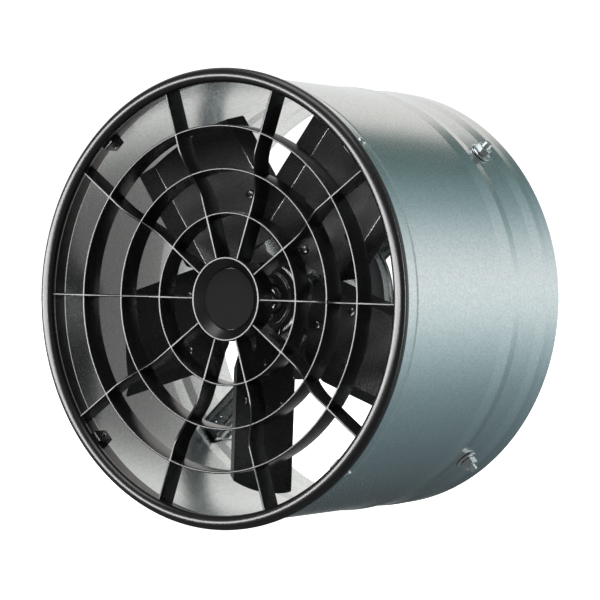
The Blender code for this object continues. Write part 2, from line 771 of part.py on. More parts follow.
def make_bracket(number, turn):
    """An angle strip: one leg riveted behind the arm, the other lying on the casing wall."""
    half = BRACKET_WIDTH / 2
    front = ARM_DEPTH + ARM_SHEET + GAP
    low = (-half, front, BRACKET_INNER)
    high = (half, front + ARM_SHEET, BRACKET_WALL)
    bracket = radial(block(f"wall_bracket_{number}", low, high, GALVANISED), turn)
    low = (-half, front, BRACKET_WALL - ARM_SHEET)
    high = (half, BRACKET_REAR, BRACKET_WALL)
    join(bracket, radial(block(f"bracket_foot_{number}", low, high, None), turn))
    reach = (190 * MM, 204 * MM)
    cut(bracket, radial_pin(f"bracket_hole_{number}", FRAME_BOLT_HOLE, reach, FRAME_BOLT_DEPTH, turn))
    face = ARM_DEPTH - GAP
    for index, radius in enumerate(ARM_RIVETS):
        tag = f"{number}_{index}"
        join(bracket, arm_pin(f"stem_{tag}", 1.6 * MM, radius, face - 0.5 * MM, front + 1 * MM, turn))
        join(bracket, arm_pin(f"head_{tag}", 3 * MM, radius, face - 1.3 * MM, face, turn))


def make_frame_bolt(number, turn):
    """A hexagon bolt from inside the casing, with a washer and a nut outside."""
    inside = BRACKET_WALL - ARM_SHEET - GAP
    head = hexagon(FRAME_NUT)
    bolt = prism(f"frame_bolt_{number}", head, inside - FRAME_HEAD_HEIGHT, inside, ZINC)
    shank = cylinder(
        f"shank_{number}", FRAME_BOLT_RADIUS, inside - 1 * MM, FRAME_BOLT_TIP, PIN_SIDES, None
    )
    join(bolt, shank)
    bore = FRAME_BOLT_RADIUS + GAP
    seat = CASING_RADIUS + GAP
    washer_radius, washer_sheet = FRAME_WASHER
    washer_ring = ring(bore, washer_radius, seat, seat + washer_sheet)
    washer = spin(f"frame_washer_{number}", washer_ring, BEARING_SIDES, ZINC, closed=True)
    low = seat + washer_sheet + GAP
    high = low + FRAME_NUT_HEIGHT
    nut = prism(f"frame_nut_{number}", hexagon(FRAME_NUT, NUT_TURNS[number - 1]), low, high, ZINC)
    hole = cylinder(f"nut_bore_{number}", bore, low - 1 * MM, high + 1 * MM, PIN_SIDES, None)
    cut(nut, hole)
    for piece in (bolt, shank, washer, nut, hole):
        radial(piece, turn)
        piece.location = (0, BEZEL_Y + FRAME_BOLT_DEPTH, 0)


# Terminal box


def make_terminal_box():
    rear = BOX_FRONT + BOX_DEPTH
    half_x = BOX_SIZE[0] / 2
    half_z = BOX_SIZE[1] / 2
    y0 = BEZEL_Y + BOX_FRONT
    y1 = BEZEL_Y + rear
    box = block("terminal_box", (-half_x, y0, -half_z), (half_x, y1, half_z), BOX_PLASTIC)
    inner = (half_x - BOX_WALL, half_z - BOX_WALL)
    low = (-inner[0], y0 + BOX_WALL, -inner[1])
    high = (inner[0], y1 + 5 * MM, inner[1])
    cut(box, block("box_room", low, high, None))
    for side in (-1, 1):
        post = place(cylinder(f"box_post_{side + 1}", 3.4 * MM, 0, BOX_DEPTH, PIN_SIDES, None))
        place(post, (side * LID_SCREW_X, y0, 0), (math.radians(-90), 0, 0))
        join(box, post)
        bore = cylinder(f"post_bore_{side + 1}", 1.6 * MM, BOX_DEPTH - 12 * MM, BOX_DEPTH + 5 * MM, PIN_SIDES, None)
        cut(box, place(bore, (side * LID_SCREW_X, y0, 0), (math.radians(-90), 0, 0)))
    gland_hole = cylinder("gland_hole", 5.4 * MM, -half_z - 5 * MM, -half_z + 5 * MM, 16, None)
    cut(box, place(gland_hole, (0, y0 + BOX_DEPTH / 2, 0)))
    seat = cylinder("box_seat", 19 * MM, BOX_FRONT - 4.1 * MM, BOX_FRONT + 1 * MM, 24, None)
    join(box, axial(seat))


def make_lid():
    y0 = BEZEL_Y + BOX_FRONT + BOX_DEPTH + GAP
    half_x = BOX_SIZE[0] / 2
    half_z = BOX_SIZE[1] / 2
    lid = block("terminal_lid", (-half_x, y0, -half_z), (half_x, y0 + LID, half_z), BOX_PLASTIC)
    for number, side in enumerate((-1, 1), 1):
        hole = cylinder(f"lid_hole_{number}", 1.7 * MM, -2 * MM, 8 * MM, PIN_SIDES, None)
        cut(lid, place(hole, (side * LID_SCREW_X, y0, 0), (math.radians(-90), 0, 0)))
        head = LID + GAP
        profile = (
            (0, head + 1.8 * MM),
            (1.8 * MM, head + 1.5 * MM),
            (2.9 * MM, head + 0.5 * MM),
            (2.9 * MM, head),
            (1.3 * MM, head),
            (1.3 * MM, -8 * MM),
            (0, -8 * MM),
        )
        screw = spin(f"lid_screw_{number}", profile, PIN_SIDES, ZINC)
        place(screw, (side * LID_SCREW_X, y0, 0), (math.radians(-90), 0, 0))


def make_capacitor():
    y0 = BEZEL_Y + BOX_FRONT + BOX_WALL + GAP
    block("run_capacitor", (-16 * MM, y0, 2 * MM), (16 * MM, y0 + 18 * MM, 17 * MM), CAPACITOR_CASE)


def make_gland():
    """A cable gland in the lower wall of the box: nut, body and clamping dome."""
    half_z = BOX_SIZE[1] / 2
    profile = (
        (2.8 * MM, 6 * MM),
        (5 * MM, 6 * MM),
        (5 * MM, -GAP),
        (8.5 * MM, -GAP),
        (8.5 * MM, -4 * MM),
        (7.4 * MM, -5 * MM),
        (7.4 * MM, -11 * MM),
        (5 * MM, -14 * MM),
        (2.8 * MM, -14 * MM),
    )
    gland = spin("cable_gland", profile, PIN_SIDES, BOX_PLASTIC, closed=True)
    place(gland, (0, BEZEL_Y + BOX_FRONT + BOX_DEPTH / 2, -half_z))


def gather_rotor():
    """Everything that turns hangs from one empty on the fan axis."""
    axis = bpy.data.objects.new("rotor_axis", None)
    FAN.objects.link(axis)
    bpy.context.view_layer.update()
    turning = ("propeller_", "blade_", "motor_shaft", "rotor_core")
    turning += ("front_bearing_inner", "rear_bearing_inner")
    for obj in FAN.objects:
        if obj.name.startswith(turning):
            world = obj.matrix_world.copy()
            obj.parent = axis
            obj.matrix_world = world


make_casing()
make_guard()
make_badge()
make_guard_screws()
make_propeller_hub()
for blade_number in range(BLADES):
    make_blade(blade_number + 1, BLADE_TURN + 360 * blade_number / BLADES)
make_propeller_nut()
make_shaft()
make_rotor()
make_stator()
make_bells()
make_bearing("front", FRONT_BEARING)
make_bearing("rear", REAR_BEARING)
make_tie_bolts()
for quarter_number, quarter_turn in enumerate(QUARTERS, 1):
    make_arm(quarter_number, quarter_turn)
    make_bracket(quarter_number, quarter_turn)
    make_frame_bolt(quarter_number, quarter_turn)
make_terminal_box()
make_lid()
make_capacitor()
make_gland()
gather_rotor()
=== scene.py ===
"""Studio picture of a galvanised axial duct fan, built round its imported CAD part.

Meshes are made in millimetres in the fan's own space and scaled when they are shown.
The fan axis is local Y: depths run along +Y from the middle of the guard's bezel, and
turns run from +X towards +Z, in degrees.
"""

import json
import math

import bmesh
import bpy
from mathutils import Matrix, Vector

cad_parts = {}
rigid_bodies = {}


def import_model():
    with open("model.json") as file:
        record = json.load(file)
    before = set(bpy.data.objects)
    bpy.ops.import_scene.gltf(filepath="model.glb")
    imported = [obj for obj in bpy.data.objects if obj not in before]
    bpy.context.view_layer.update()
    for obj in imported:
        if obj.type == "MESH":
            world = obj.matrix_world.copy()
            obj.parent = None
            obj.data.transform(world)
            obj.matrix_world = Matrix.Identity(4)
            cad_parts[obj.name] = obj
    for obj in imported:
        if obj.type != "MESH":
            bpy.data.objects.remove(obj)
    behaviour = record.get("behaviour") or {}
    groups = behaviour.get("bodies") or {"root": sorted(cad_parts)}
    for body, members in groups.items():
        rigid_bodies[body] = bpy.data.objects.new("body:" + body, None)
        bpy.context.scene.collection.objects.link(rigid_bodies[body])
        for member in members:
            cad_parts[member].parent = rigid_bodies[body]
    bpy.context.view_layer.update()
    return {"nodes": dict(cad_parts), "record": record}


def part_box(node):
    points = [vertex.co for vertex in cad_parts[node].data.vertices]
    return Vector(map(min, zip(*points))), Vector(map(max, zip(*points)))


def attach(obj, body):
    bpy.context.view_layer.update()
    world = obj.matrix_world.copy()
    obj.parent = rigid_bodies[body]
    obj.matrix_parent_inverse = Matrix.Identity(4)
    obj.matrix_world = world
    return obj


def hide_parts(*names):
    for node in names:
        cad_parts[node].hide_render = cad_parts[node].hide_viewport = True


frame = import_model()

MM = 0.001
RECORD = frame["record"]
BODY_OF = {node: body for body, nodes in RECORD["behaviour"]["bodies"].items() for node in nodes}
SLOT_OF = {part["node"]: part["material_slot"] for part in RECORD["subparts"]}

# Sizes in millimetres and turns in degrees; depths start at the middle of the bezel
GAP = 0.3
BEZEL_TUBE = 6.5
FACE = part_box("front_guard")[0].y / MM + BEZEL_TUBE
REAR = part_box("duct_casing")[1].y / MM - FACE
CASING_RADIUS = 200
SHEET = 1
COLLAR = 0.6
BEAD = 1.3
HEM = 0.8
SKIRT_RADIUS = 199
SKIRT_INNER = 196.4
SKIRT_DEPTH = 20.8
GROOVE_TURN = -25
RIB = 2.2
RIB_DEPTH = 20.5
RING_RADII = (77, 116, 154)
DISH_DEPTH = 15.7
DISH_RIM = -1
DISH_START = 92
DISH_END = 141
SPOKES = 10
SPOKE_TURN = -1.3
SPOKE_STEPS = 18
GUARD_HUB = 38
BADGE_RADIUS = 27.4
BADGE_FLOOR = DISH_DEPTH + 6.8
GUARD_SCREW_DEPTH = 12
GUARD_SCREW_HOLE = 2.2
GUARD_SCREW_PILOT = 1.8
QUARTERS = (42, 132, 222, 312)
BLADES = 5
BLADE_TURN = 51.6
BLADE_SHEET = 1.4
BLADE_MIDDLE = Vector((3.5, 81.4))
BLADE_FACET = 83.4
BLADE_PITCH = 17
FLANGES = ((17.4, 45), (15.6, 41))
BLADE_FOLD = 3
BLADE_CORNER = 1.6
BLADE_ROOT = 49
BLADE_ROOT_HALF = 35
BLADE_SHOULDER = 67
BLADE_SHOULDER_RUN = 20.7
BLADE_STEPS = 12
TIP_RADIUS = 177.7
RIVETS = ((59, 0), (96, 28), (96, -28))
SPIDER_SHEET = 2.6
HUB_RADIUS = 35
HUB_SEAT = 86.5
HUB_REAR = 103
SHAFT_RADIUS = 6
SHAFT_ENDS = (79, 183)
BEARING_RADIUS = 16
MOTOR_RADIUS = 73.5
STATOR_BORE = 40.6
STATOR_SLOTS = 8
FRONT_HOUSING = 106.9
BELL_FRONT = 123.5
CORE = (138, 160)
BELL_REAR = 174
REAR_HOUSING = 183.1
TIE_RADIUS = 65
TIE_HOLE = 2.6
ARM_DEPTH = 174.3
ARM_SHEET = 1.5
ARM_RIVETS = (174, 182)
BRACKET_WALL = 198.2
FRAME_BOLT_DEPTH = 205.7
FRAME_NUT = 13
NUT_TURNS = (12, 40, 5, 24)
BOLT_HOLE = 4.5
BOX_FRONT = 187.5
BOX_DEPTH = 24
BOX_REAR = BOX_FRONT + BOX_DEPTH
BOX_HALF = (29, 20)
BOX_WALL = 2
BOX_POSTS = (-22, 22)
BOX_MIDDLE = BOX_FRONT + BOX_DEPTH / 2
LID_SHEET = 3


# Mesh tools


def skin(sections, loop=False, closed=True, capped=True):
    """Join equal rows of points. loop joins the last row to the first, closed closes each row."""
    mesh = bmesh.new()
    rows = [[mesh.verts.new(p) for p in section] for section in sections]
    count = len(rows[0])
    pairs = list(zip(rows, rows[1:]))
    if loop:
        pairs.append((rows[-1], rows[0]))
    for low, high in pairs:
        for i in range(count if closed else count - 1):
            j = (i + 1) % count
            mesh.faces.new((low[i], low[j], high[j], high[i]))
    if capped and not loop:
        mesh.faces.new(rows[0])
        mesh.faces.new(rows[-1])
    bmesh.ops.remove_doubles(mesh, verts=mesh.verts, dist=0.001)
    bmesh.ops.recalc_face_normals(mesh, faces=mesh.faces)
    return mesh


def rounded(corners, closed=True, steps=4):
    """A line through (x, y, fillet) corners, each corner turned with its own fillet."""
    line = []
    count = len(corners)
    for i, (x, y, fillet) in enumerate(corners):
        here = Vector((x, y))
        if fillet == 0 or (not closed and i in (0, count - 1)):
            line.append(here)
            continue
        before = (Vector(corners[i - 1][:2]) - here).normalized()
        after = (Vector(corners[(i + 1) % count][:2]) - here).normalized()
        half = before.angle(after) / 2
        centre = here + (before + after).normalized() * fillet / math.sin(half)
        start = here + before * fillet / math.tan(half)
        end = here + after * fillet / math.tan(half)
        for step in range(steps + 1):
            line.append(centre + (start.lerp(end, step / steps) - centre).normalized() * fillet)
    return line


def direction(pitch):
    return Vector((math.cos(math.radians(pitch)), math.sin(math.radians(pitch))))


def arc(centre, radius, start, end, steps=8):
    """Points of an arc, with its angles in degrees."""
    points = []
    for step in range(steps + 1):
        angle = start + (end - start) * step / steps
        points.append(Vector(centre) + radius * direction(angle))
    return points


def lathe(profile, sides=96, closed=True):
    """Turn a line of (radius, height) round local Y; an open line starts and ends on the axis."""
    sections = []
    for side in range(sides):
        turn = 2 * math.pi * side / sides
        sections.append([(r * math.cos(turn), h, r * math.sin(turn)) for r, h in profile])
    return skin(sections, loop=True, closed=closed)


def rod(radius, low, high, sides=32, chamfer=0.0):
    profile = [(0, low), (radius - chamfer, low), (radius, low + chamfer)]
    profile += [(radius, high - chamfer), (radius - chamfer, high), (0, high)]
    return lathe(profile, sides, closed=False)


def ring(inner, outer, low, high, fillet=0.3, sides=96):
    ends = ((inner, high), (outer, high), (outer, low), (inner, low))
    return lathe(rounded([(*end, fillet) for end in ends], steps=2), sides)


def bar(section, low, high):
    """Extrude a closed section of (x, y) between two heights along local Z."""
    return skin([[(x, y, height) for x, y in section] for height in (low, high)])


def slab(outline, low, high, bevel=0.0, segments=2):
    """A plate with its outline in local XZ, between two depths along Y, with bevelled edges."""
    mesh = skin([[(x, depth, z) for x, z in outline] for depth in (low, high)])
    if bevel:
        soften(mesh, bevel, segments)
    return mesh


def box_mesh(low, high, bevel=0.0, segments=3):
    outline = [(low[0], low[2]), (high[0], low[2]), (high[0], high[2]), (low[0], high[2])]
    return slab(outline, low[1], high[1], bevel, segments)


def soften(mesh, width, segments=2, angle=50):
    """Bevel every edge that is sharper than an angle."""
    limit = math.radians(angle)
    sharp = [e for e in mesh.edges if len(e.link_faces) == 2 and e.calc_face_angle() > limit]
    bmesh.ops.bevel(
        mesh,
        geom=sharp,
        offset=width,
        segments=segments,
        profile=0.6,
        affect="EDGES",
        clamp_overlap=True,
    )


def moved(mesh, matrix):
    bmesh.ops.transform(mesh, matrix=matrix, verts=mesh.verts)
    return mesh


def along(x=0.0, y=0.0, z=0.0):
    return Matrix.Translation((x, y, z))


# Stands local Y up along local Z
UPRIGHT = Matrix.Rotation(math.radians(90), 4, "X")


def radial(turn, depth=0.0):
    """Local Z points out along the turn, local Y to the rear, local X clockwise."""
    return along(y=depth) @ Matrix.Rotation(math.radians(90 - turn), 4, "Y")


def outward(turn, depth):
    """Local Y, the axis of a turned piece, points out along the turn."""
    return radial(turn, depth) @ UPRIGHT


def merged(*meshes):
    """Several closed shells as one mesh."""
    whole = bmesh.new()
    for mesh in meshes:
        data = bpy.data.meshes.new("part")
        mesh.to_mesh(data)
        mesh.free()
        whole.from_mesh(data)
        bpy.data.meshes.remove(data)
    return whole


def loose(mesh):
    data = bpy.data.meshes.new("solid")
    mesh.to_mesh(data)
    mesh.free()
    obj = bpy.data.objects.new("solid", data)
    bpy.context.scene.collection.objects.link(obj)
    return obj


def combine(operation, base, *tools):
    """Exact boolean of closed shells; the shells are removed again."""
    target = loose(base)
    cutters = bpy.data.collections.new("cutters")
    for tool in tools:
        cutters.objects.link(loose(tool))
    step = target.modifiers.new("step", "BOOLEAN")
    step.operation = operation
    step.solver = "EXACT"
    step.operand_type = "COLLECTION"
    step.collection = cutters
    seen = target.evaluated_get(bpy.context.evaluated_depsgraph_get())
    result = bmesh.new()
    result.from_mesh(seen.to_mesh())
    for obj in [target, *cutters.objects]:
        data = obj.data
        bpy.data.objects.remove(obj)
        bpy.data.meshes.remove(data)
    bpy.data.collections.remove(cutters)
    return result


def show(node, mesh, matrix=Matrix(), smooth=32):
    """Put a finished mesh in place of a CAD node, on that node's body and in its finish."""
    data = bpy.data.meshes.new("visual_" + node)
    mesh.to_mesh(data)
    mesh.free()
    data.transform(Matrix.Scale(MM, 4) @ along(y=FACE) @ matrix)
    data.shade_smooth()
    data.set_sharp_from_angle(angle=math.radians(smooth))
    obj = bpy.data.objects.new("visual_" + node, data)
    bpy.context.scene.collection.objects.link(obj)
    obj.data.materials.append(FINISH[SLOT_OF[node]])
    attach(obj, BODY_OF[node])
    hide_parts(node)
    return obj


# Materials


def add_node(tree, kind, **settings):
    """A new shader node; each setting is one of its inputs or else one of its properties."""
    made = tree.nodes.new(kind)
    for key, value in settings.items():
        if key in made.inputs:
            made.inputs[key].default_value = value
        else:
            setattr(made, key, value)
    return made


def start(name, colour, roughness, metallic=0.0):
    """A Principled material, its tree, its shader and coordinates in metres."""
    made = bpy.data.materials.new(name)
    made.use_nodes = True
    tree = made.node_tree
    shader = tree.nodes["Principled BSDF"]
    shader.inputs["Base Color"].default_value = (*colour, 1)
    shader.inputs["Roughness"].default_value = roughness
    shader.inputs["Metallic"].default_value = metallic
    place = add_node(tree, "ShaderNodeTexCoord").outputs["Object"]
    return made, tree, shader, place


def spread(tree, value, inside, outside=(0, 1), **settings):
    """Map a value from one range to another, held at both ends."""
    made = add_node(tree, "ShaderNodeMapRange", **settings)
    for name, number in zip(("From Min", "From Max", "To Min", "To Max"), (*inside, *outside)):
        made.inputs[name].default_value = number
    tree.links.new(value, made.inputs["Value"])
    return made.outputs["Result"]


def blended(tree, factor, low, high):
    """Mix two colours by a factor; the second one may come from another node."""
    mix = add_node(tree, "ShaderNodeMix", data_type="RGBA")
    tree.links.new(factor, mix.inputs[0])
    mix.inputs[6].default_value = (*low, 1)
    if isinstance(high, tuple):
        mix.inputs[7].default_value = (*high, 1)
    else:
        tree.links.new(high, mix.inputs[7])
    return mix.outputs[2]


def noise(tree, place, scale, detail):
    """Noise between 0 and 1, with its scale in waves per metre."""
    made = add_node(tree, "ShaderNodeTexNoise", Scale=scale, Detail=detail)
    tree.links.new(place, made.inputs["Vector"])
    return made.outputs["Fac"]


def bump(tree, place, shader, scale, strength):
    """A fine surface grain a tenth of a millimetre high at full strength."""
    relief = add_node(tree, "ShaderNodeBump", Strength=strength, Distance=0.0001)
    tree.links.new(noise(tree, place, scale, 3.0), relief.inputs["Height"])
    tree.links.new(relief.outputs["Normal"], shader.inputs["Normal"])


def coated(name, colour, roughness, grain, strength, metallic=0.0):
    """A plain finish with uneven gloss and a fine surface grain."""
    made, tree, shader, place = start(name, colour, roughness, metallic)
    cloud = noise(tree, place, 45.0, 4.0)
    gloss = spread(tree, cloud, (0, 1), (roughness * 0.85, roughness * 1.15))
    tree.links.new(gloss, shader.inputs["Roughness"])
    bump(tree, place, shader, grain, strength)
    return made


def galvanised():
    """Hot-dip zinc: small crystal spangles that differ a little in shade and gloss."""
    made, tree, shader, place = start("galvanised_sheet", (0.56, 0.6, 0.6), 0.26, 1.0)
    spangle = add_node(tree, "ShaderNodeTexVoronoi", Scale=720.0, Randomness=1.0)
    tree.links.new(place, spangle.inputs["Vector"])
    shade = blended(tree, spangle.outputs["Color"], (0.49, 0.53, 0.535), (0.64, 0.675, 0.675))
    tree.links.new(shade, shader.inputs["Base Color"])
    gloss = spread(tree, noise(tree, place, 900.0, 3.0), (0, 1), (0.18, 0.32))
    tree.links.new(gloss, shader.inputs["Roughness"])
    bump(tree, place, shader, 1100.0, 0.3)
    return made


def speckled_paint():
    """Satin black paint over sheet, with a fine speckle in its tone and a light grain."""
    made, tree, shader, place = start("propeller_paint", (0.025, 0.025, 0.026), 0.24)
    speckle = spread(tree, noise(tree, place, 1000.0, 2.0), (0.35, 0.65))
    tone = blended(tree, speckle, (0.008, 0.008, 0.009), (0.06, 0.06, 0.062))
    tree.links.new(tone, shader.inputs["Base Color"])
    bump(tree, place, shader, 900.0, 0.08)
    return made


def plain_badge():
    """A matt printed disc without gloss."""
    made, tree, shader, place = start("badge_plastic", (0.085, 0.085, 0.085), 0.9)
    shader.inputs["Specular IOR Level"].default_value = 0.05
    bump(tree, place, shader, 1500.0, 0.1)
    return made


FINISH = {
    "galvanised_sheet": galvanised(),
    "guard_plastic": coated("guard_plastic", (0.014, 0.014, 0.015), 0.27, 900.0, 0.03),
    "badge_plastic": plain_badge(),
    "propeller_paint": speckled_paint(),
    "zinc_hardware": coated("zinc_hardware", (0.7, 0.73, 0.74), 0.2, 800.0, 0.06, 1.0),
    "bearing_steel": coated("bearing_steel", (0.55, 0.55, 0.54), 0.22, 900.0, 0.05, 1.0),
    "lamination": coated("lamination", (0.2, 0.2, 0.21), 0.45, 900.0, 0.2, 1.0),
    "copper_winding": coated("copper_winding", (0.6, 0.26, 0.1), 0.3, 600.0, 0.3, 1.0),
    "rotor_aluminium": coated("rotor_aluminium", (0.6, 0.6, 0.61), 0.42, 700.0, 0.2, 1.0),
    "terminal_plastic": coated("terminal_plastic", (0.02, 0.02, 0.021), 0.5, 1100.0, 0.2),
    "capacitor_case": coated("capacitor_case", (0.5, 0.5, 0.48), 0.45, 900.0, 0.1),
}


# Casing


def casing_line():
    """Outer line of the rolled sheet from its front edge: collar, groove, two beads, hem."""
    flat = CASING_RADIUS
    return (
        (flat + COLLAR, 7, 0),
        (flat + COLLAR, 20.4, 1.2),
        (flat - 0.9, 22.3, 0.8),
        (flat, 24.4, 1.2),
        (flat, 163, 24),
        (flat + BEAD, 180, 9),
        (flat, 192, 10),
        (flat, 222, 20),
        (flat + BEAD, 237, 9),
        (flat + HEM, 247, 8),
        (flat + HEM, REAR, 0),
    )


def make_casing():
    outer = rounded(casing_line(), closed=False, steps=6)
    inner = [Vector((radius - SHEET, depth)) for radius, depth in outer]
    casing = lathe(outer + list(reversed(inner)), 288)
    holes = []
    for turn in QUARTERS:
        holes.append(moved(rod(BOLT_HOLE, 190, 210), outward(turn, FRAME_BOLT_DEPTH)))
        holes.append(moved(rod(GUARD_SCREW_HOLE, 190, 210), outward(turn, GUARD_SCREW_DEPTH)))
    casing = combine("DIFFERENCE", casing, merged(*holes))
    show("duct_casing", casing)


# Guard


def dish(radius):
    """Depth of the guard's front edges: a flat middle, a smooth step, and a flat rim."""
    part = min(max((radius - DISH_START) / (DISH_END - DISH_START), 0), 1)
    return DISH_RIM + (DISH_DEPTH - DISH_RIM) * (1 + math.cos(math.pi * part)) / 2


def bezel_line():
    """The skirt and the round bezel as one closed line; a groove sets off the bezel's rim."""
    centre = Vector((SKIRT_RADIUS - 0.5, 0))
    groove = centre + (BEZEL_TUBE - 0.8) * direction(GROOVE_TURN)
    skirt = ((SKIRT_INNER, SKIRT_DEPTH, 0.4), (SKIRT_RADIUS, SKIRT_DEPTH, 0.4))
    rim = arc(centre, BEZEL_TUBE, 85, GROOVE_TURN + 5, 14)
    bead = arc(centre, BEZEL_TUBE, GROOVE_TURN - 5, -250, 30)
    corners = [*skirt, *((*point, 0) for point in rim[:-1]), (*rim[-1], 0.45), (*groove, 0.15)]
    corners += [(*bead[0], 0.3), *((*point, 0) for point in bead[1:])]
    return rounded(corners, steps=3)


def rib_section(front, rear, wide=RIB):
    """A moulded rib across its width, as (x, depth), with a rounded front edge."""
    half = wide / 2
    corners = ((-half, rear, 0.3), (half, rear, 0.3), (half, front, 0.75), (-half, front, 0.75))
    return rounded(corners, steps=3)


def spoke(turn):
    """A rib from the hub to the skirt that follows the dish, with stations along its step."""
    low = GUARD_HUB - 1.2
    high = SKIRT_INNER + 1
    step = (DISH_END - DISH_START) / SPOKE_STEPS
    stations = [DISH_START + step * i for i in range(SPOKE_STEPS + 1)]
    sections = []
    for radius in [low, *stations, high]:
        front = dish(radius)
        sections.append([(x, y, radius) for x, y in rib_section(front, front + RIB_DEPTH)])
    return moved(skin(sections), radial(turn))


def guard_ring(radius):
    front = dish(radius)
    section = rib_section(front, front + RIB_DEPTH + 0.7)
    return lathe([(radius + x, y) for x, y in section], 192)


def guard_hub():
    """The round boss that joins the spokes, with a recess for the badge in its front."""
    rim = DISH_DEPTH - 1
    line = rounded(
        (
            (0, rim + 10, 0),
            (28, rim + 10, 1),
            (GUARD_HUB - 2.4, rim + 4.5, 1),
            (GUARD_HUB - 2.4, rim + RIB_DEPTH, 0.3),
            (GUARD_HUB, rim + RIB_DEPTH, 0.3),
            (GUARD_HUB, rim, 0.8),
            (GUARD_HUB - 1.9, rim, 0.7),
            (BADGE_RADIUS + 0.2, BADGE_FLOOR, 0),
            (0, BADGE_FLOOR, 0),
        ),
        closed=False,
    )
    return lathe(line, 128, closed=False)


def make_guard():
    bezel = lathe(bezel_line(), 256)
    ribs = [spoke(SPOKE_TURN + 360 * i / SPOKES) for i in range(SPOKES)]
    ribs += [guard_ring(radius) for radius in RING_RADII]
    ribs.append(guard_hub())
    holes = []
    for turn in QUARTERS:
        boss = box_mesh((-6, 3, 189), (6, SKIRT_DEPTH - 0.8, SKIRT_INNER + 1), 0.8)
        pilot = moved(rod(GUARD_SCREW_PILOT, 184, 204, 24), outward(90, GUARD_SCREW_DEPTH))
        ribs.append(moved(combine("DIFFERENCE", boss, pilot), radial(turn)))
        pilot = rod(GUARD_SCREW_PILOT, 193, 204, 24)
        holes.append(moved(pilot, outward(turn, GUARD_SCREW_DEPTH)))
    bezel = combine("DIFFERENCE", bezel, *holes)
    show("front_guard", combine("UNION", bezel, *ribs), smooth=40)


def make_badge():
    show("guard_badge", rod(BADGE_RADIUS, BADGE_FLOOR - 1.4, BADGE_FLOOR - GAP, 96, 0.05))


# Screws and nuts


def head_line(radius, height, base, shank, tip):
    """A pan-head screw from the top of its head to its tip, as (radius, height)."""
    corners = (
        (0, base + height, 0),
        (radius, base + height, height * 0.7),
        (radius, base, 0.15),
        (shank, base, 0),
        (shank, tip + 0.8, 0),
        (0, tip, 0),
    )
    return rounded(corners, closed=False, steps=5)


def pan_screw(radius, height, base, shank, tip):
    """A pan-head screw with a cross recess."""
    screw = lathe(head_line(radius, height, base, shank, tip), 40, closed=False)
    slot = 0.35
    reach = radius * 0.55
    floor = base + height * 0.45
    top = base + height + 1
    cross = [box_mesh((-reach, floor, -slot), (reach, top, slot))]
    cross.append(box_mesh((-slot, floor, -reach), (slot, top, reach)))
    return combine("DIFFERENCE", screw, *cross)


def nut_mesh(across_flats, low, high, bore, turn=0.0):
    """A hexagon nut, or a bolt's head without a bore, with its corners turned off at both ends."""
    reach = across_flats / math.sqrt(3)
    face = across_flats / 2 - 0.2
    fall = (reach - face) * math.tan(math.radians(30))
    cone = [(0, low), (face, low), (reach + 0.02, low + fall)]
    cone += [(reach + 0.02, high - fall), (face, high), (0, high)]
    hexagon = [reach * direction(turn + 60 * i) for i in range(6)]
    nut = slab(hexagon, low - 1, high + 1)
    nut = combine("INTERSECT", nut, lathe(cone, 72, closed=False))
    if bore:
        edge = bore + 0.5
        hole = [(0, low - 1), (edge + 1, low - 1), (edge, low), (bore, low + 0.5)]
        hole += [(bore, high - 0.5), (edge, high), (edge + 1, high + 1), (0, high + 1)]
        nut = combine("DIFFERENCE", nut, lathe(hole, 48, closed=False))
    return nut


def stud_mesh(radius, pitch, low, high, sides=28):
    """A threaded rod along local Y with a chamfered tip."""
    depth = 0.55 * pitch
    count = int((high - low) / pitch * 5)
    sections = []
    for row in range(count + 1):
        height = low + (high - low) * row / count
        limit = radius - max(0.0, 0.8 - (high - height))
        section = []
        for side in range(sides):
            turn = 2 * math.pi * side / sides
            phase = (height / pitch - side / sides) % 1
            reach = min(radius - depth * abs(2 * phase - 1), limit)
            section.append((reach * math.cos(turn), height, reach * math.sin(turn)))
        sections.append(section)
    return skin(sections)


def make_guard_screws():
    seat = CASING_RADIUS + COLLAR + GAP
    for number, turn in enumerate(QUARTERS, 1):
        screw = pan_screw(3.9, 2.4, seat, 1.7, 187)
        show(f"guard_screw_{number}", screw, outward(turn, GUARD_SCREW_DEPTH))


def make_frame_bolts():
    inside = BRACKET_WALL - ARM_SHEET - GAP
    seat = CASING_RADIUS + GAP
    washer_sheet = 1.6
    for number, turn in enumerate(QUARTERS, 1):
        where = outward(turn, FRAME_BOLT_DEPTH)
        head = nut_mesh(FRAME_NUT, inside - 5.3, inside, 0)
        bolt = combine("UNION", head, stud_mesh(4, 1.25, inside - 1, 213.5))
        show(f"frame_bolt_{number}", bolt, where, smooth=25)
        washer = ring(4.3, 10.4, seat, seat + washer_sheet, 0.4, 64)
        show(f"frame_washer_{number}", washer, where)
        base = seat + washer_sheet + GAP
        nut = nut_mesh(FRAME_NUT, base, base + 6.5, 4.2, NUT_TURNS[number - 1])
        show(f"frame_nut_{number}", nut, where, smooth=25)


# Propeller


